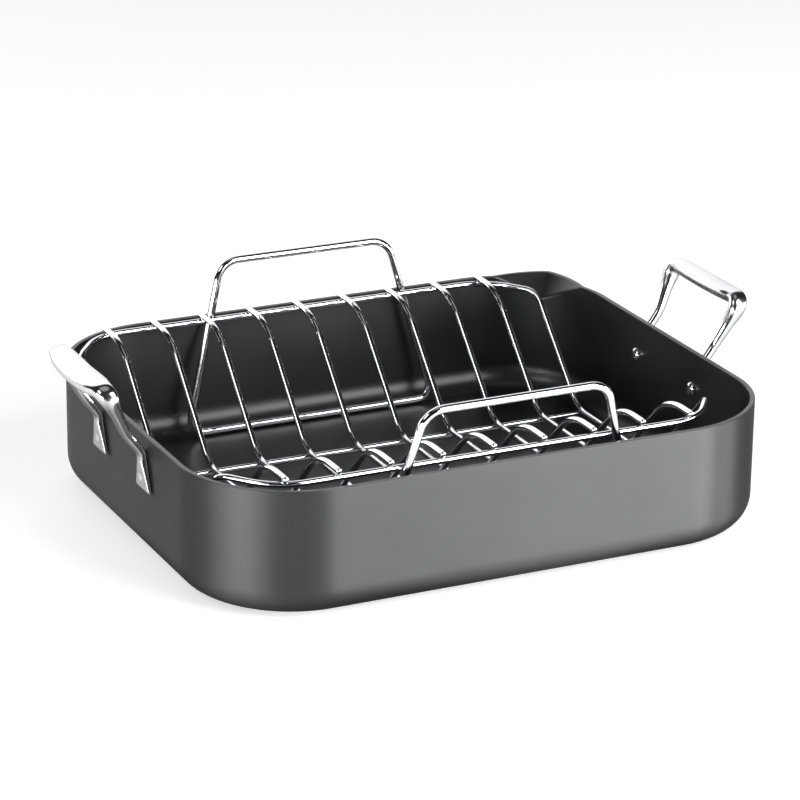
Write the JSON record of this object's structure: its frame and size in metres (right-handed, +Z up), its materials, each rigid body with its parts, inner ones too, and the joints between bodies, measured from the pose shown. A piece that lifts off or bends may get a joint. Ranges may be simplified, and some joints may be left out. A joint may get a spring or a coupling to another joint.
{
  "type": "roasting pan",
  "caption": "Rounded rectangular roasting pan with upright riveted side handles, a pour spout in one corner and a lift-out wire rack with lifting loops.",
  "frame": {"origin": "centre of the bounding box's underside: the middle of the pan's flat floor, on the surface it stands on", "axes": "+X along the long side to the right, +Y to the rear wall, +Z up; the pour spout is in the +X, +Y corner"},
  "size_m": [0.4854, 0.341, 0.1287],
  "materials": {
    "pan": "hard-anodised satin dark grey outside, dark non-stick coating inside",
    "handles": "polished",
    "rack": "bright plated wire"
  },
  "bodies": {
    "pan": {"pan_body": "pan", "side_handle_left": "handles", "side_handle_right": "handles", "rivet_left_front": "handles", "rivet_left_rear": "handles", "rivet_right_front": "handles", "rivet_right_rear": "handles"},
    "rack": {"rack_frame": "rack", "rack_rib_1": "rack", "rack_rib_2": "rack", "rack_rib_3": "rack", "rack_rib_4": "rack", "rack_rib_5": "rack", "rack_rib_6": "rack", "rack_rib_7": "rack", "rack_rib_8": "rack", "rack_rib_9": "rack", "rack_keel_front": "rack", "rack_keel_rear": "rack", "rack_loop_front": "rack", "rack_loop_rear": "rack"}
  },
  "joints": [
    {"name": "rack_lift", "type": "slide", "parent": "pan", "child": "rack", "axis": [0, 0, 1], "range_m": [0, 0.14]}
  ]
}
